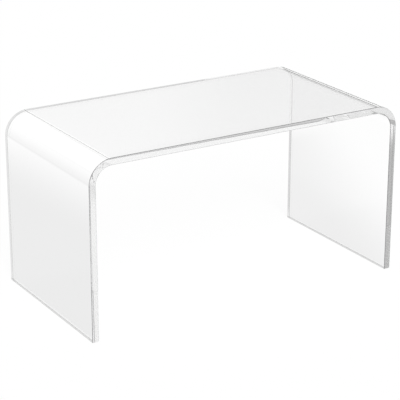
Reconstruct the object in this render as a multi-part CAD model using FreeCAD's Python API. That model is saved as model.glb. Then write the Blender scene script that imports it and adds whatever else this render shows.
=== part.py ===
"""Waterfall coffee table: one sheet of clear cast acrylic on four clear bumper feet.

The sheet is cut to size and its edges are flame polished. The arrises of both rims are scraped
round, and those of the leg ends are only broken. The sheet is then heated along two lines and bent
down at both ends, so that the top and both legs are one piece with nothing to join. A small
self-adhesive bumper sits under each end of each leg.

Frame: millimetres, +X along the table, +Y from the front rim to the back rim, +Z up. The origin
is on the floor, under the middle of the table.
"""

import FreeCAD, Part
import os
from math import cos, pi, sin

# Overall sizes
TABLE_LENGTH = 800.0  # outside face of one leg to the outside face of the other
TABLE_DEPTH = 406.0  # front rim to back rim
TABLE_HEIGHT = 410.0  # floor to top face

# Sheet
SHEET_THICKNESS = 16.0
BEND_INSIDE_RADIUS = 40.0  # of the former that the hot sheet is laid over
ARRIS_RADIUS = 1.2  # scraped rounding along the front and back rims
LEG_END_ARRIS = 0.3  # broken arris round the end of each leg

# Bumper feet
FOOT_DIAMETER = 12.0
FOOT_HEIGHT = 2.0
FOOT_DOME_RISE = 0.5  # how far the rim of the sole stands above its middle
FOOT_SOLE_DIAMETER = 7.0  # flat middle of the sole
FOOT_SETBACK = 26.0  # rim of the table to the middle of a foot

UP = FreeCAD.Vector(0, 0, 1)
ALONG_DEPTH = FreeCAD.Vector(0, 1, 0)
TOLERANCE = 1e-6

half_length = TABLE_LENGTH / 2
half_depth = TABLE_DEPTH / 2
bend_outside_radius = BEND_INSIDE_RADIUS + SHEET_THICKNESS
bend_height = TABLE_HEIGHT - bend_outside_radius  # of both bends' centres
bend_offset = half_length - bend_outside_radius  # of both bends' centres, from the middle


def point(x, z, y=0.0):
    """A point of the side view, at depth y."""
    return FreeCAD.Vector(x, y, z)


def bend_arc(side, radius, y):
    """A quarter turn about one bend's centre, from the leg up to the top; side is -1 or 1."""
    ends_and_middle = [
        point(side * (bend_offset + radius * cos(angle)), bend_height + radius * sin(angle), y)
        for angle in (0.0, pi / 4, pi / 2)
    ]
    return Part.Arc(*ends_and_middle).toShape()


def line(start, end):
    return Part.LineSegment(start, end).toShape()


def side_outline(y):
    """The sheet seen from the front: two legs, two bends and the top, closed at the leg ends."""
    outer, inner = half_length, half_length - SHEET_THICKNESS
    top, underside = TABLE_HEIGHT, TABLE_HEIGHT - SHEET_THICKNESS
    edges = [
        line(point(-outer, FOOT_HEIGHT, y), point(-outer, bend_height, y)),
        bend_arc(-1, bend_outside_radius, y),
        line(point(-bend_offset, top, y), point(bend_offset, top, y)),
        bend_arc(1, bend_outside_radius, y),
        line(point(outer, bend_height, y), point(outer, FOOT_HEIGHT, y)),
        line(point(outer, FOOT_HEIGHT, y), point(inner, FOOT_HEIGHT, y)),
        line(point(inner, FOOT_HEIGHT, y), point(inner, bend_height, y)),
        bend_arc(1, BEND_INSIDE_RADIUS, y),
        line(point(bend_offset, underside, y), point(-bend_offset, underside, y)),
        bend_arc(-1, BEND_INSIDE_RADIUS, y),
        line(point(-inner, bend_height, y), point(-inner, FOOT_HEIGHT, y)),
        line(point(-inner, FOOT_HEIGHT, y), point(-outer, FOOT_HEIGHT, y)),
    ]
    return Part.Wire(Part.__sortEdges__(edges))


def is_leg_end_edge(edge):
    """True for an edge that bounds the flat end of a leg."""
    box = edge.BoundBox
    return abs(box.ZMin - FOOT_HEIGHT) < TOLERANCE and abs(box.ZMax - FOOT_HEIGHT) < TOLERANCE


def is_rim_edge(edge):
    """True for an edge that runs along the front or back rim, from one leg's end to the other's."""
    box = edge.BoundBox
    on_front = abs(box.YMin + half_depth) < TOLERANCE and abs(box.YMax + half_depth) < TOLERANCE
    on_back = abs(box.YMin - half_depth) < TOLERANCE and abs(box.YMax - half_depth) < TOLERANCE
    return (on_front or on_back) and not is_leg_end_edge(edge)


def bent_sheet():
    """The whole table top and both legs: both rims are rounded first, and then the leg ends."""
    blank = Part.Face(side_outline(-half_depth)).extrude(ALONG_DEPTH * TABLE_DEPTH)
    rim_edges = [edge for edge in blank.Edges if is_rim_edge(edge)]
    rounded = blank.makeFillet(ARRIS_RADIUS, rim_edges)
    leg_end_edges = [edge for edge in rounded.Edges if is_leg_end_edge(edge)]
    return rounded.makeFillet(LEG_END_ARRIS, leg_end_edges)


def bumper_foot(x, y):
    """A clear moulded bumper: a flat disc on top, with a low dome that ends in a flat sole."""
    radius, sole_radius = FOOT_DIAMETER / 2, FOOT_SOLE_DIAMETER / 2
    half_profile = Part.makePolygon(
        [
            point(0, 0),
            point(sole_radius, 0),
            point(radius, FOOT_DOME_RISE),
            point(radius, FOOT_HEIGHT),
            point(0, FOOT_HEIGHT),
            point(0, 0),
        ]
    )
    foot = Part.Face(half_profile).revolve(point(0, 0), UP, 360)
    foot.translate(FreeCAD.Vector(x, y, 0))
    return foot


def feet():
    """One bumper under each end of each leg, in the middle of the sheet's thickness."""
    x = half_length - SHEET_THICKNESS / 2
    y = half_depth - FOOT_SETBACK
    return {
        f"bumper_foot_{depth_name}_{side_name}": bumper_foot(side * x, depth * y)
        for depth_name, depth in (("front", -1), ("back", 1))
        for side_name, side in (("left", -1), ("right", 1))
    }


nodes = {"bent_sheet": bent_sheet(), **feet()}

os.makedirs("parts", exist_ok=True)
for name, shape in nodes.items():
    shape.exportStep(f"parts/{name}.step")
    print(name, "valid" if shape.isValid() else "NOT VALID", round(shape.Volume), "mm3")
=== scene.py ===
# %% [markdown]
# # A clear acrylic waterfall coffee table
# The table is one sheet of clear cast acrylic, heated along two lines and bent down at both ends.
# Four small clear bumpers keep its legs off the floor. Everything here is glass-like, so most of
# the work is in three things: a mesh whose normals are exact, an honest clear material, and a
# plain pale studio for that material to mirror and to bend.
#
# The first cell loads the frame, which is the exact model that the looks are built around.

# %% The frame
import math

import bmesh
import bpy
import numpy as np
from mathutils import Matrix, Vector


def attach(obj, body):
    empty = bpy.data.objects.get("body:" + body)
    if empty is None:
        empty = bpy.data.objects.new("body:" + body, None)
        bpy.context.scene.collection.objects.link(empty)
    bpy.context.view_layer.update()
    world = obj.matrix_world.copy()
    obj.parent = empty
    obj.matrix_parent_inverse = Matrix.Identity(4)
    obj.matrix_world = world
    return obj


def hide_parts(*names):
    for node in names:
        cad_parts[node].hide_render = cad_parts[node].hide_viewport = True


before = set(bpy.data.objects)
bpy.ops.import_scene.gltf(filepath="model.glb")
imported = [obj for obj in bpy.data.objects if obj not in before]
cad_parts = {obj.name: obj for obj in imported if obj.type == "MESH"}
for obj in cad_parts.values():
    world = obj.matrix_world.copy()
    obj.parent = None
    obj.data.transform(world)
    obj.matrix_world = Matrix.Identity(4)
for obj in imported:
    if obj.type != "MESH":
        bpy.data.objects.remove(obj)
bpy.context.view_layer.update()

print("frame nodes:", sorted(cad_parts))

# %% [markdown]
# ## Sizes
# These are the real sizes in millimetres. The mesh is worked out in millimetres too, and one
# function turns it to metres when it becomes a Blender object.

# %% Sizes
TABLE_LENGTH = 800.0  # outside of one leg to the outside of the other
TABLE_DEPTH = 406.0
TABLE_HEIGHT = 410.0
SHEET_THICKNESS = 16.0
BEND_RADIUS = 40.0 + SHEET_THICKNESS / 2  # of the middle of the sheet's thickness
ARRIS_RADIUS = 1.2  # scraped rounding along the front and back rims
LEG_END_ARRIS = 0.3  # broken arris round the end of each leg
FOOT_HEIGHT = 2.0
FOOT_SETBACK = 26.0  # rim of the table to the middle of a bumper

print("clear span between the legs:", TABLE_LENGTH - 2 * SHEET_THICKNESS, "mm")

# %% [markdown]
# ## From arrays to a mesh
# Clear acrylic shows every small fault of its surface, because light passes it twice and mirrors
# in between. Averaged vertex normals would bend the flat faces near each rounded edge like a
# lens. The exact normal of each point is known from the same formula as the point itself, so it
# is handed to the mesh as a custom normal.

# %% Making a piece
MERGE_DISTANCE = 1e-6  # metres, within which two points are one


def solid_from_grid(name, points, normals, faces, caps=(), finishes=None):
    """A closed mesh from an array of points in millimetres, with its exact normals.

    points and normals are (count, 3) arrays, faces an array of corner numbers, caps lists of
    corner numbers for flat ends. Points that fall on each other are merged, which closes seams
    and poles, and each point's own normal becomes the custom normal of its corners. finishes
    gives each face the number of its material, where a piece has more than one.
    """
    mesh = bpy.data.meshes.new(name)
    all_faces = faces.tolist() + [list(cap) for cap in caps]
    mesh.from_pydata((points / 1000).tolist(), [], all_faces, shade_flat=False)
    carrier = mesh.attributes.new("exact_normal", "FLOAT_VECTOR", "POINT")
    carrier.data.foreach_set("vector", normals.astype(np.float32).ravel())
    if finishes is not None:
        for _ in range(finishes.max() + 1):
            mesh.materials.append(None)
        mesh.polygons.foreach_set("material_index", finishes)
    bm = bmesh.new()
    bm.from_mesh(mesh)
    bmesh.ops.remove_doubles(bm, verts=bm.verts, dist=MERGE_DISTANCE)
    open_edges = sum(not edge.is_manifold for edge in bm.edges)
    bm.to_mesh(mesh)
    bm.free()
    exact = np.empty(len(mesh.vertices) * 3, np.float32)
    mesh.attributes["exact_normal"].data.foreach_get("vector", exact)
    mesh.attributes.remove(mesh.attributes["exact_normal"])
    mesh.normals_split_custom_set_from_vertices(exact.reshape(-1, 3))
    piece = bpy.data.objects.new(name, mesh)
    bpy.context.collection.objects.link(piece)
    print(name, len(mesh.vertices), "vertices,", len(mesh.polygons), "faces,", open_edges, "open edges")
    return piece


def grid_faces(rows, columns):
    """Corner numbers of the quads between the neighbouring rows of a grid whose rows are rings."""
    row = np.arange(rows - 1)[:, None] * columns
    column = np.arange(columns)[None, :]
    right = (column + 1) % columns
    quads = [row + column, row + right, row + columns + right, row + columns + column]
    return np.stack(np.broadcast_arrays(*quads), axis=-1).reshape(-1, 4)


print("quads between two rings of four points:", len(grid_faces(2, 4)))

# %% [markdown]
# ## The bent sheet
# The real piece starts as a flat blank, sawn to size. Its cut edges are flame polished, the sharp
# arrises of both long rims are scraped round, and those of the leg ends are only broken. Then it
# is heated and bent over a round former. It is built in the same order here: first a flat,
# round-edged bar in three coordinates (along the bend path, across the table, through the
# thickness), and then the path carries it. A box with a Bevel and a Simple Deform modifier would
# look alike from afar, but its bends would not keep their exact radius, and its normals would
# only be averages.

# %% The path of the bend
half_length = TABLE_LENGTH / 2 - SHEET_THICKNESS / 2
leg_run = TABLE_HEIGHT - SHEET_THICKNESS / 2 - BEND_RADIUS - FOOT_HEIGHT
bend_run = BEND_RADIUS * math.pi / 2
top_run = 2 * (half_length - BEND_RADIUS)
KNOTS = np.cumsum([0.0, leg_run, bend_run, top_run, bend_run, leg_run])
print("length of the flat blank:", round(KNOTS[-1], 1), "mm")


def bend_path(s):
    """Where the middle of the sheet is, and which way it heads, at each distance s in millimetres.

    The heading runs from straight up (90 degrees) through level to straight down (-90), and
    changes evenly with s inside each bend. Between two stations the place moves by the chord of
    the arc, which is (step length) * sin(half turn) / (half turn), towards the mean heading.
    """
    heading = np.interp(s, KNOTS, np.radians([90, 90, 0, 0, -90, -90]))
    turn = np.diff(heading)
    chord = np.diff(s) * np.sinc(turn / 2 / math.pi)
    mean = (heading[1:] + heading[:-1]) / 2
    x = -half_length + np.concatenate([[0.0], np.cumsum(chord * np.cos(mean))])
    z = FOOT_HEIGHT + np.concatenate([[0.0], np.cumsum(chord * np.sin(mean))])
    return x, z, heading


# %% The section, and where it stands along the path
ARRIS_STEPS = 5  # segments round each rounded arris
BEND_STEPS, LEG_STEPS, TOP_STEPS = 72, 8, 16  # segments along each bend, each leg and the top


def section():
    """The way out at each point round the section, as an angle, and the core corner it is from."""
    quarter = np.linspace(0, math.pi / 2, ARRIS_STEPS + 1)
    a = np.concatenate([quarter + k * math.pi / 2 for k in range(4)])
    core_y = (TABLE_DEPTH / 2 - ARRIS_RADIUS) * np.repeat([1, -1, -1, 1], ARRIS_STEPS + 1)
    core_n = (SHEET_THICKNESS / 2 - ARRIS_RADIUS) * np.repeat([1, 1, -1, -1], ARRIS_STEPS + 1)
    return a, core_y, core_n


def stations():
    """Distances along the path for all sections, and how far each one turns to face an end."""
    runs = [
        np.linspace(KNOTS[0] + LEG_END_ARRIS, KNOTS[1], LEG_STEPS + 1)[:-1],
        np.linspace(KNOTS[1], KNOTS[2], BEND_STEPS + 1)[:-1],
        np.linspace(KNOTS[2], KNOTS[3], TOP_STEPS + 1)[:-1],
        np.linspace(KNOTS[3], KNOTS[4], BEND_STEPS + 1)[:-1],
        np.linspace(KNOTS[4], KNOTS[5] - LEG_END_ARRIS, LEG_STEPS + 1),
    ]
    middle = np.concatenate(runs)
    first, last = np.full(ARRIS_STEPS, middle[0]), np.full(ARRIS_STEPS, middle[-1])
    turn = np.linspace(math.pi / 2, 0, ARRIS_STEPS + 1)[:-1]
    tilt = np.concatenate([-turn, np.zeros(len(middle)), turn[::-1]])
    return np.concatenate([first, middle, last]), tilt


print("points round the section:", len(section()[0]), "and sections along the path:", len(stations()[0]))

# %% The sheet as a surface
CAST, FLAMED, SCRAPED_WITH_PAINTED_SHADE = 0, 1, 2  # the numbers of the sheet's three finishes


def bent_sheet():
    """The whole sheet as a round-edged bar carried along the bend path.

    In flat coordinates (s, y, n) each point stands out from a core corner by reach, the way
    (cos a, sin a) in y and n. The reach is ARRIS_RADIUS, and draws in round each leg's end as
    ARRIS_RADIUS - LEG_END_ARRIS * (1 - cos tilt) while s runs on by LEG_END_ARRIS * sin tilt. The
    exact normal is (sin tilt, cos tilt cos a, cos tilt sin a).
    """
    a, core_y, core_n = section()
    core_s, tilt = stations()
    s = core_s + LEG_END_ARRIS * np.sin(tilt)
    x, z, heading = bend_path(s)
    reach = ARRIS_RADIUS - LEG_END_ARRIS * (1 - np.cos(tilt))[:, None]
    y = core_y + reach * np.cos(a)
    n = core_n + reach * np.sin(a)
    cos_h, sin_h = np.cos(heading)[:, None], np.sin(heading)[:, None]
    points = np.stack([x[:, None] - n * sin_h, y, z[:, None] + n * cos_h], axis=-1)

    dir_s = np.broadcast_to(np.sin(tilt)[:, None], n.shape)
    dir_y = np.cos(tilt)[:, None] * np.cos(a)
    dir_n = np.cos(tilt)[:, None] * np.sin(a)
    normals = np.stack([dir_s * cos_h - dir_n * sin_h, dir_y, dir_s * sin_h + dir_n * cos_h], axis=-1)

    faces = grid_faces(len(s), len(a))
    ring = np.arange(len(a))
    caps = [ring[::-1], ring + (len(s) - 1) * len(a)]
    row, column = np.divmod(np.arange(len(faces)), len(a))
    side, step = np.divmod(column, ARRIS_STEPS + 1)
    arris = (step < ARRIS_STEPS) | (row < ARRIS_STEPS) | (row >= len(s) - 1 - ARRIS_STEPS)
    finishes = np.where(arris, SCRAPED_WITH_PAINTED_SHADE, np.where(side % 2 == 1, FLAMED, CAST))
    finishes = np.append(finishes, [FLAMED, FLAMED]).astype(np.int32)
    name = "bent_acrylic_sheet"
    return solid_from_grid(name, points.reshape(-1, 3), normals.reshape(-1, 3), faces, caps, finishes)


sheet = bent_sheet()
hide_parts("bent_sheet")
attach(sheet, "root")

# %% [markdown]
# ## The bumpers
# Each bumper is a drop of clear polyurethane, cast on an adhesive film and punched out as a disc.
# Its profile is a flat top, a straight rim, and a low dome that ends in a flat sole. A profile
# turned about an upright axis gives it in one array. The top stops a hair short of the leg, so
# that light meets two clear surfaces with air between them, and not one surface that belongs to
# two pieces.

# %% One bumper by its profile
HAIR_OF_AIR = 0.03  # millimetres between a bumper and its leg
UPPER_EDGE = 0.15  # rounding of a bumper's upper edge
bumper_top = FOOT_HEIGHT - HAIR_OF_AIR
BUMPER_PROFILE = [
    # radius, height, and the way the surface faces there, all in the plane of the profile
    (0.00, bumper_top, 0, 1),
    (6.00 - UPPER_EDGE, bumper_top, 0, 1),
    (6.00, bumper_top - UPPER_EDGE, 1, 0.2),
    (6.00, 1.10, 1, 0),
    (5.93, 0.80, 1, -0.25),
    (5.70, 0.50, 0.8, -0.6),
    (5.20, 0.27, 0.45, -0.9),
    (4.50, 0.10, 0.2, -1),
    (3.60, 0.00, 0, -1),
    (0.00, 0.00, 0, -1),
]
BUMPER_TURNS = 48  # segments round a bumper


def bumper(name, x, y):
    """A bumper's profile turned once round an upright axis at (x, y), closed at both poles."""
    profile = np.array(BUMPER_PROFILE)
    turn = np.linspace(0, 2 * math.pi, BUMPER_TURNS, endpoint=False)
    radius, height = profile[:, :1], profile[:, 1:2]
    out, up = profile[:, 2:3], profile[:, 3:4]
    size = np.hypot(out, up)[..., None]
    points = np.stack([x + radius * np.cos(turn), y + radius * np.sin(turn), height + 0 * turn], axis=-1)
    normals = np.stack([out * np.cos(turn), out * np.sin(turn), up + 0 * turn], axis=-1) / size
    faces = grid_faces(len(profile), len(turn))[:, ::-1]
    return solid_from_grid(name, points.reshape(-1, 3), normals.reshape(-1, 3), faces)


print("points in a bumper's profile:", len(BUMPER_PROFILE))

# %% Four bumpers in their places
bumpers = []
foot_y = TABLE_DEPTH / 2 - FOOT_SETBACK
for depth_name, depth in (("front", -1), ("back", 1)):
    for side_name, side in (("left", -1), ("right", 1)):
        piece = bumper(f"clear_bumper_{depth_name}_{side_name}", side * half_length, depth * foot_y)
        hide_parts(f"bumper_foot_{depth_name}_{side_name}")
        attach(piece, "root")
        bumpers.append(piece)

# %% [markdown]
# ## Materials
# Small helpers come first: one turns an sRGB hex colour to the linear numbers that shaders work
# in, one adds a node with its settings and links, and one lets lamps through a clear piece.
# Blender finds a lamp by a straight shadow ray, which clear acrylic would stop as if it were
# solid. So a shadow ray sees a Transparent BSDF in its place, which takes a little light at each
# surface and leaves a pale shadow.


# %% Material helpers
def colour(hex_value):
    """Linear RGBA from an sRGB hex value.

    A channel c is c / 12.92 up to 0.04045, and ((c + 0.055) / 1.055) ** 2.4 above it.
    """
    channels = [int(hex_value[i : i + 2], 16) / 255 for i in (1, 3, 5)]
    linear = [c / 12.92 if c <= 0.04045 else ((c + 0.055) / 1.055) ** 2.4 for c in channels]
    return (*linear, 1.0)


def add(tree, kind, links=None, values=None, **settings):
    """A new node of that kind: settings are its properties, values its sockets, links its inputs."""
    node = tree.nodes.new(kind)
    for key, value in settings.items():
        setattr(node, key, value)
    for key, value in (values or {}).items():
        node.inputs[key].default_value = value
    for key, output in (links or {}).items():
        tree.links.new(output, node.inputs[key])
    return node


def new_material(name):
    """An empty node material and its tree."""
    material = bpy.data.materials.new(name)
    material.use_nodes = True
    material.node_tree.nodes.clear()
    return material, material.node_tree


def pass_lamps(tree, clear, passed):
    """The clear shader for every ray but a shadow ray, which passes with that share of its light."""
    through = add(tree, "ShaderNodeBsdfTransparent", values={"Color": colour(passed)})
    shadow_ray = add(tree, "ShaderNodeLightPath").outputs["Is Shadow Ray"]
    mixed = {0: shadow_ray, 1: clear.outputs[0], 2: through.outputs[0]}
    return add(tree, "ShaderNodeMixShader", mixed).outputs[0]


print("a mid grey in linear numbers:", [round(c, 3) for c in colour("#808080")])

# %% [markdown]
# ### Clear cast acrylic
# PMMA bends light a little less than window glass (IOR 1.49), has next to no colour, and takes
# about a sixth of the light over a metre, which is why long ways along the sheet look grey. The
# sheet wears three finishes. Its faces are as smooth as the glass plates that it was cast
# between. The sawn edges are flame polished and keep a trace of haze. The arrises are scraped with
# a blade and polished by hand, which leaves fine scratches and a little roughness. Their darker
# tint is painted shade: it draws the dark outlines that the rounded rims show along the table.
#
# Casting and heating leave a very slow waviness. A noise with waves of 55 mm, 0.02 mm high, gives
# it to the normals by a Bump node.

# %% Clear cast acrylic
ACRYLIC_IOR = 1.49
WAVE_SIZE, WAVE_HEIGHT = 0.055, 0.00002  # metres
BODY_COLOUR, BODY_DENSITY = "#E6E6E6", 0.9  # per metre
ACRYLIC_SHADOW = "#EEEEEE"  # what the sheet's surface leaves of a lamp's light
FINISHES = {
    # name, what each pass of the surface leaves of the light, and roughness
    CAST: ("clear_cast_acrylic", "#FEFEFE", 0.0),
    FLAMED: ("clear_cast_acrylic_flame_polished", "#FEFEFE", 0.03),
    # the scraped arrises' darker tint is painted shade for the dark outlines along the rims; their
    # roughness is real
    SCRAPED_WITH_PAINTED_SHADE: ("clear_cast_acrylic_scraped_painted_shade", "#CECECE", 0.08),
}


def clear_acrylic(name, tint, roughness):
    """Clear acrylic with one surface finish: tint is what is left at each pass of the surface."""
    acrylic, tree = new_material(name)
    place = add(tree, "ShaderNodeTexCoord").outputs["Object"]
    waves = add(tree, "ShaderNodeTexNoise", {"Vector": place}, {"Scale": 1 / WAVE_SIZE, "Detail": 1.0})
    relief_size = {"Strength": 1.0, "Distance": WAVE_HEIGHT}
    relief = add(tree, "ShaderNodeBump", {"Height": waves.outputs["Fac"]}, relief_size)
    finish = {
        "Base Color": colour(tint),
        "Roughness": roughness,
        "IOR": ACRYLIC_IOR,
        "Transmission Weight": 1.0,
    }
    clear = add(tree, "ShaderNodeBsdfPrincipled", {"Normal": relief.outputs["Normal"]}, finish)
    surface = pass_lamps(tree, clear, ACRYLIC_SHADOW)
    absorbed = {"Color": colour(BODY_COLOUR), "Density": BODY_DENSITY}
    body = add(tree, "ShaderNodeVolumeAbsorption", values=absorbed)
    add(tree, "ShaderNodeOutputMaterial", {"Surface": surface, "Volume": body.outputs[0]})
    return acrylic


for number, look in FINISHES.items():
    sheet.data.materials[number] = clear_acrylic(*look)
left_in_a_metre = math.exp(-BODY_DENSITY * (1 - colour(BODY_COLOUR)[0]))
print("light left after a metre of acrylic:", round(left_in_a_metre, 2))

# %% [markdown]
# ### Clear moulded polyurethane
# Softer than acrylic and a little milky, with a faint grain from the film that it was cast on.

# %% Clear moulded polyurethane
GRAIN_SIZE, GRAIN_HEIGHT = 0.0009, 0.00003  # metres
POLYURETHANE_SHADOW = "#E4E5E4"  # what a bumper's surface leaves of a lamp's light

polyurethane, tree = new_material("clear_moulded_polyurethane")
place = add(tree, "ShaderNodeTexCoord").outputs["Object"]
grain = add(tree, "ShaderNodeTexNoise", {"Vector": place}, {"Scale": 1 / GRAIN_SIZE, "Detail": 3.0})
grain_relief = {"Strength": 0.3, "Distance": GRAIN_HEIGHT}
grain_bump = add(tree, "ShaderNodeBump", {"Height": grain.outputs["Fac"]}, grain_relief)
milky = {
    "Base Color": colour("#F2F3F2"),
    "Roughness": 0.12,
    "IOR": 1.5,
    "Transmission Weight": 0.92,
}
soft_clear = add(tree, "ShaderNodeBsdfPrincipled", {"Normal": grain_bump.outputs["Normal"]}, milky)
surface = pass_lamps(tree, soft_clear, POLYURETHANE_SHADOW)
add(tree, "ShaderNodeOutputMaterial", {"Surface": surface})
for piece in bumpers:
    piece.data.materials.append(polyurethane)
print("bumpers that wear it:", len(bumpers))

# %% [markdown]
# ## The studio
# A clear object has no look of its own: it shows the room. So the room is a plain white one: a
# floor and a paper backdrop, a grey wall above the paper, one wide soft light at the back, and a
# black flag at the right, past the paper's end. The flag draws the thin dark outline of a clear
# bend, which would vanish on white without it.
#
# A ray that goes straight to the lens sees plain white. A ray that comes through the clear pieces
# sees the white floor and paper too, with painted slow falls of light and shade like those that real
# ones have. Light Path's Ray Depth counts the surfaces that the ray has met, so it tells the ways
# through the sheet apart: 2 is straight through, 3 is once mirrored inside, 10 and more is all the
# way from rim to rim. In a real room each of these ways ends somewhere else, at a lamp, under a dark
# ceiling, or on the clothes of whoever stands at the camera. Here each of them has its own fall of
# light and shade, painted into the glow of the floor and the room.
#
# A few small helpers make those falls.


# %% Helpers for levels of light
def soft_step(tree, value, start, end):
    """0 where value is at start, 1 where it is at end, and t * t * (3 - 2 * t) between."""
    step = add(tree, "ShaderNodeMapRange", {"Value": value}, {"From Min": start, "From Max": end})
    step.interpolation_type = "SMOOTHSTEP"
    return step.outputs["Result"]


def math_node(tree, operation, *inputs):
    """The result of one Math node. An input is a number or another node's output."""
    node = add(tree, "ShaderNodeMath", operation=operation)
    for socket, value in zip(node.inputs, inputs):
        if isinstance(value, (int, float)):
            socket.default_value = value
        else:
            tree.links.new(value, socket)
    return node.outputs[0]


def all_of(tree, *shares):
    """The product of several shares: 1 only where all of them are 1."""
    product = shares[0]
    for share in shares[1:]:
        product = math_node(tree, "MULTIPLY", product, share)
    return product


def mix_levels(tree, share, low, high):
    """low + share * (high - low), clamped to neither end, because light has no upper end."""
    return math_node(tree, "MULTIPLY_ADD", share, math_node(tree, "SUBTRACT", high, low), low)


t = 0.25
print("a soft step a quarter of the way up:", t * t * (3 - 2 * t))


# %% Helpers for ways into the room
def way_to(bearing, height):
    """The unit vector to a place by its bearing, from +Y towards +X, and its height, in degrees."""
    side, rise = math.radians(bearing), math.radians(height)
    return Vector((math.sin(side) * math.cos(rise), math.cos(side) * math.cos(rise), math.sin(rise)))


def angle_from(tree, toward, way):
    """The angle in degrees between a ray's own way and a fixed one: acos(toward . way)."""
    product = add(tree, "ShaderNodeVectorMath", {0: toward}, {1: way}, operation="DOT_PRODUCT")
    return math_node(tree, "DEGREES", math_node(tree, "ARCCOSINE", product.outputs["Value"]))


def bearing_of(tree, split):
    """The bearing of a place or a way whose parts are split: atan2(x, y) in degrees."""
    return math_node(tree, "DEGREES", math_node(tree, "ARCTAN2", split["X"], split["Y"]))


print("straight ahead along +Y:", tuple(way_to(0.0, 0.0)))

# %% The flag
FLAG_START = 30.0, 38.0  # bearings between which the black flag begins
FLAG_END = 60.0, 80.0  # and ends
FLAG_LEVEL = 0.04  # black cloth still gives a little light back


def flag_share(tree, bearing):
    """How much of the black flag stands at a bearing: 1 in its middle, soft at both ends."""
    start = soft_step(tree, bearing, *FLAG_START)
    end = soft_step(tree, bearing, *FLAG_END)
    return math_node(tree, "SUBTRACT", start, end)


flag_middle = sum(FLAG_START + FLAG_END) / 4
print("way to the middle of the flag:", [round(c, 2) for c in way_to(flag_middle, 0.0)])

# %% [markdown]
# ### The floor
# White, matt and endless. To the lens nearly all of it glows at exactly white, and the rest is
# lit by the lamp, which leaves a trace of the table's shadow. In the clear pieces it is white as
# well, with a painted soft shade round the table in its glow, which stands in for the table's
# shadow. Its left part runs on far behind the left leg, its right part ends soon behind the table,
# and a limit that leans to the right closes both. Each pair of numbers for an edge says where the
# painted shade is absent and where it is full, in metres.

# %% The floor as a piece
FLOOR_HALF = 60.0  # metres

floor_mesh = bpy.data.meshes.new("studio_floor")
corners = [(x * FLOOR_HALF, y * FLOOR_HALF, 0.0) for x, y in ((-1, -1), (1, -1), (1, 1), (-1, 1))]
floor_mesh.from_pydata(corners, [], [(0, 1, 2, 3)])
floor = bpy.data.objects.new("studio_floor", floor_mesh)
bpy.context.collection.objects.link(floor)
print("the floor is", 2 * FLOOR_HALF, "m wide")

# %% What the floor's material starts from
floor_white, tree = new_material("matt_white_floor")
place = add(tree, "ShaderNodeTexCoord").outputs["Object"]
split = add(tree, "ShaderNodeSeparateXYZ", {"Vector": place}).outputs
away = add(tree, "ShaderNodeVectorMath", {0: place}, operation="LENGTH").outputs["Value"]
ray = add(tree, "ShaderNodeLightPath").outputs
print("Light Path tells:", ", ".join(output.name for output in ray))

# %% The floor's painted soft shade
SHADE_LIMIT, LIMIT_SLANT = (0.70, 0.40), -0.4  # x, and how this limit leans with y
SHADE_REACH = 1.7, 1.2  # the distance from the middle of the table
LEFT_START, LEFT_SLANT = (0.26, -0.08), 0.1  # x of the left part's right edge, and its lean
LEFT_END = -1.0, -0.72  # x of the left part's left edge
RIGHT_START, RIGHT_BACK = (0.1, 0.3), (0.9, 0.7)  # x and y of the right part's edges

left_lean = math_node(tree, "MULTIPLY_ADD", split["Y"], LEFT_SLANT, split["X"])
left_part = all_of(
    tree,
    soft_step(tree, left_lean, *LEFT_START),
    soft_step(tree, split["X"], *LEFT_END),
)
right_part = all_of(
    tree,
    soft_step(tree, split["X"], *RIGHT_START),
    soft_step(tree, split["Y"], *RIGHT_BACK),
)
limit_lean = math_node(tree, "MULTIPLY_ADD", split["Y"], LIMIT_SLANT, split["X"])
shade = all_of(
    tree,
    math_node(tree, "MAXIMUM", left_part, right_part),
    soft_step(tree, limit_lean, *SHADE_LIMIT),
    soft_step(tree, away, *SHADE_REACH),
)
print("nodes so far:", len(tree.nodes))

# %% The floor straight through the sheet
FLOOR_CLEAR = 1.02  # out of every shade
SHADE_LEVELS, SHADE_TURN = (0.857, 0.88), (-0.1, 0.3)  # from left to right, and over which x
FLAG_FLOOR = 5.0, 7.5  # the distance where the flag begins to darken the floor

shaded = mix_levels(tree, soft_step(tree, split["X"], *SHADE_TURN), *SHADE_LEVELS)
level = mix_levels(tree, shade, FLOOR_CLEAR, shaded)
flagged = all_of(tree, flag_share(tree, bearing_of(tree, split)), soft_step(tree, away, *FLAG_FLOOR))
level = mix_levels(tree, flagged, level, FLAG_LEVEL)
print("the shade takes", round(1 - SHADE_LEVELS[0] / FLOOR_CLEAR, 2), "of the light at the left")

# %% Painted shade on the floor to light that ran from rim to rim
LONG_WAY = 9.5  # a Ray Depth above this has run through the sheet from rim to rim
LONG_LEVELS = 0.97, 0.52  # for that light, out of its shade and in it
LONG_BACK, LONG_RIGHT = (0.95, 0.72), (-0.14, 0.0)  # y and x

long_shade = all_of(
    tree,
    soft_step(tree, split["Y"], *LONG_BACK),
    soft_step(tree, split["X"], *LONG_RIGHT),
)
long_way = math_node(tree, "GREATER_THAN", ray["Ray Depth"], LONG_WAY)
level = mix_levels(tree, long_way, level, mix_levels(tree, long_shade, *LONG_LEVELS))
print("surfaces on the way from rim to rim:", math.ceil(LONG_WAY), "or more")

# %% Painted shade on the floor to light that was mirrored once inside the sheet
ONCE_MIRRORED, WITHIN = 3.0, 0.5  # the Ray Depth of that light, which is a whole number
FRONT_LEVELS, FRONT_TURN = (0.76, 0.66), (0.1, 0.4)  # from left to right, and over which x
# painted shade: the floor under and before the table is darker, only to light mirrored once inside the
# sheet
FRONT_EDGE = 0.22, 0.12  # y: the floor under and before the table

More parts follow.
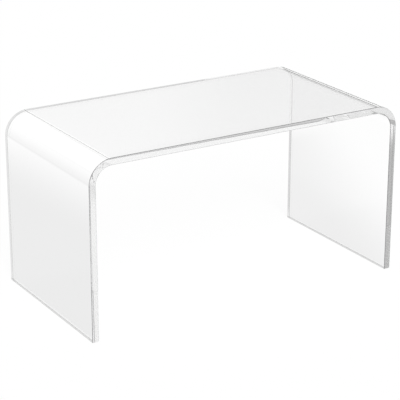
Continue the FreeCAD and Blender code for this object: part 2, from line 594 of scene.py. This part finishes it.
mirrored = math_node(tree, "COMPARE", ray["Ray Depth"], ONCE_MIRRORED, WITHIN)
front = all_of(tree, mirrored, soft_step(tree, split["Y"], *FRONT_EDGE))
front_shade_level = mix_levels(tree, soft_step(tree, split["X"], *FRONT_TURN), *FRONT_LEVELS)
level = mix_levels(tree, front, level, front_shade_level)
print("the front of the floor at its darkest:", min(FRONT_LEVELS))

# %% The floor's two halves
LENS_SHARE = 0.95  # how much of the floor is plain white to the lens
WHITE, MATT_WHITE = "#FFFFFF", "#FAFAFA"

level = mix_levels(tree, ray["Is Camera Ray"], level, 1.0)
clear_ray = math_node(tree, "MAXIMUM", ray["Is Glossy Ray"], ray["Is Transmission Ray"])
share = math_node(tree, "MULTIPLY_ADD", ray["Is Camera Ray"], LENS_SHARE, clear_ray)
matt = add(tree, "ShaderNodeBsdfDiffuse", values={"Color": colour(MATT_WHITE)})
glow = add(tree, "ShaderNodeEmission", {"Strength": level}, {"Color": colour(WHITE)})
white = add(tree, "ShaderNodeMixShader", {0: share, 1: matt.outputs[0], 2: glow.outputs[0]})
add(tree, "ShaderNodeOutputMaterial", {"Surface": white.outputs[0]})
floor_mesh.materials.append(floor_white)
print("the floor's material has", len(tree.nodes), "nodes")

# %% [markdown]
# ### The room
# All that stands above the floor is far away, so the world can hold it: the paper up to about 13
# degrees, the wall above it, the wide soft light high at the back, and the flag. A small grey card
# hangs a little above the paper for light that was mirrored at least twice inside the sheet, and
# the side walls are dark to light that ran from rim to rim. Matt surfaces get only a low, even
# share of the room, because the lamp lights them.

# %% The world and its ways
world = bpy.data.worlds.new("plain_studio")
bpy.context.scene.world = world
world.use_nodes = True
tree = world.node_tree
tree.nodes.clear()
toward = add(tree, "ShaderNodeTexCoord").outputs["Generated"]
split = add(tree, "ShaderNodeSeparateXYZ", {"Vector": toward}).outputs
ray = add(tree, "ShaderNodeLightPath").outputs
up_angle = math_node(tree, "DEGREES", math_node(tree, "ARCSINE", split["Z"]))
bearing = bearing_of(tree, split)
print("nodes for the ways:", len(tree.nodes))

# %% Paper, wall, flag and soft light
WALL_LEVELS, WALL_TURN = (0.80, 0.67), (29.0, 34.0)  # from left to right, and over which bearings
PAPER_LEVEL = 1.04
PAPER_TOP = 14.5, 11.5  # degrees above the horizon
FLAG_TOP = 7.0, 4.0  # degrees above the horizon
SOFT_WAY, SOFT_LEVEL = way_to(-5.0, 38.0), 1.3
SOFT_EDGE = 36.0, 22.0  # degrees from its middle: dark, and full

wall = mix_levels(tree, soft_step(tree, bearing, *WALL_TURN), *WALL_LEVELS)
flagged = all_of(tree, flag_share(tree, bearing), soft_step(tree, up_angle, *FLAG_TOP))
paper = mix_levels(tree, flagged, PAPER_LEVEL, FLAG_LEVEL)
level = mix_levels(tree, soft_step(tree, up_angle, *PAPER_TOP), wall, paper)
soft_light = soft_step(tree, angle_from(tree, toward, SOFT_WAY), *SOFT_EDGE)
level = mix_levels(tree, soft_light, level, SOFT_LEVEL)
print("the soft light is", sum(SOFT_EDGE), "degrees wide to the middle of its edge")

# %% The room to light that comes by a longer way
TWICE_MIRRORED = 3.5  # a Ray Depth above this was mirrored at least twice inside the sheet
CARD_WAY, CARD_LEVEL = way_to(26.3, 24.3), 0.62
CARD_EDGE = 6.0, 4.0  # degrees from its middle
SIDE_WALLS = 28.5, 33.5  # bearings to both sides

mirrored = math_node(tree, "GREATER_THAN", ray["Ray Depth"], TWICE_MIRRORED)
card = all_of(tree, mirrored, soft_step(tree, angle_from(tree, toward, CARD_WAY), *CARD_EDGE))
level = mix_levels(tree, card, level, CARD_LEVEL)
sideways = soft_step(tree, math_node(tree, "ABSOLUTE", bearing), *SIDE_WALLS)
long_way = math_node(tree, "GREATER_THAN", ray["Ray Depth"], LONG_WAY)
level = mix_levels(tree, long_way, level, mix_levels(tree, sideways, *LONG_LEVELS))
print("way to the card:", [round(c, 2) for c in CARD_WAY])

# %% What each kind of ray gets of the room
AMBIENT = 0.12  # for matt surfaces

clear_ray = math_node(tree, "MAXIMUM", ray["Is Glossy Ray"], ray["Is Transmission Ray"])
level = mix_levels(tree, clear_ray, AMBIENT, level)
level = mix_levels(tree, ray["Is Camera Ray"], level, 1.0)
background = add(tree, "ShaderNodeBackground", {"Strength": level}, {"Color": colour(WHITE)})
add(tree, "ShaderNodeOutputWorld", {"Surface": background.outputs[0]})
print("the room has", len(tree.nodes), "nodes")

# %% [markdown]
# ### The lamp
# One big soft lamp stands at the front left, far enough off to light the whole floor alike. A Sun
# does that, and its angle makes the shadow soft. The clear pieces don't show the lamp itself,
# because they have the room to show.

# %% The lamp
LAMP_HEIGHT = 42.0  # degrees above the horizon
LAMP_WAY = way_to(202.0, LAMP_HEIGHT)
LAMP_SPREAD = 25.0  # degrees wide
LAMP_LEVEL = 0.93  # how white it makes a white floor
LAMP_DISTANCE = 3.0  # metres; only for show, because a Sun shines from afar

lamp = bpy.data.lights.new("lamp_front_left", "SUN")
lamp.angle = math.radians(LAMP_SPREAD)
lamp.energy = LAMP_LEVEL * math.pi / math.sin(math.radians(LAMP_HEIGHT))
holder = bpy.data.objects.new("lamp_front_left", lamp)
bpy.context.collection.objects.link(holder)
holder.location = LAMP_DISTANCE * LAMP_WAY
holder.rotation_mode = "QUATERNION"
holder.rotation_quaternion = LAMP_WAY.to_track_quat("Z", "Y")
holder.visible_camera = False
holder.visible_glossy = False
holder.visible_transmission = False
print("the lamp gives", round(lamp.energy, 2), "W/m2 to a card that faces it")

# %% [markdown]
# ## The camera
# It looks down on the table from the front left with a long lens, so that upright edges stay
# nearly upright. Its three axes are worked out from its bearing and height, and become the
# columns of its matrix.

# %% The camera
AZIMUTH, ELEVATION, ROLL = 31.66, 20.25, math.radians(0.07)
DISTANCE, TARGET = 3.647, Vector((-0.0061, 0.0, 0.1882))
LENS, SENSOR_WIDTH = 141.4, 36.0  # millimetres
NEAREST, FARTHEST = 0.1, 100.0  # metres, between which things are drawn
ahead = way_to(AZIMUTH, -ELEVATION)
level_right = ahead.cross(Vector((0, 0, 1))).normalized()
level_up = level_right.cross(ahead)
right = level_right * math.cos(ROLL) + level_up * math.sin(ROLL)
up = level_up * math.cos(ROLL) - level_right * math.sin(ROLL)

camera = bpy.data.cameras.new("studio_camera")
camera.lens, camera.sensor_width = LENS, SENSOR_WIDTH
camera.clip_start, camera.clip_end = NEAREST, FARTHEST
camera_object = bpy.data.objects.new("studio_camera", camera)
bpy.context.collection.objects.link(camera_object)
turned = Matrix((right, up, -ahead)).transposed().to_4x4()
camera_object.matrix_world = Matrix.Translation(TARGET - ahead * DISTANCE) @ turned
scene = bpy.context.scene
scene.camera = camera_object
scene.view_settings.view_transform = "Standard"
print("the camera stands at", [round(c, 2) for c in camera_object.matrix_world.translation])

# %% [markdown]
# ## How far light is followed
# Light that enters the front edge of the top runs through the sheet like through a light guide
# and mirrors inside it many times. With Blender's usual few bounces those paths end in black.

# %% Bounces
BOUNCES, TRANSPARENT_BOUNCES = 32, 16

scene.cycles.max_bounces = BOUNCES
scene.cycles.glossy_bounces = BOUNCES
scene.cycles.transmission_bounces = BOUNCES
scene.cycles.transparent_max_bounces = TRANSPARENT_BOUNCES
print("bounces:", scene.cycles.max_bounces)
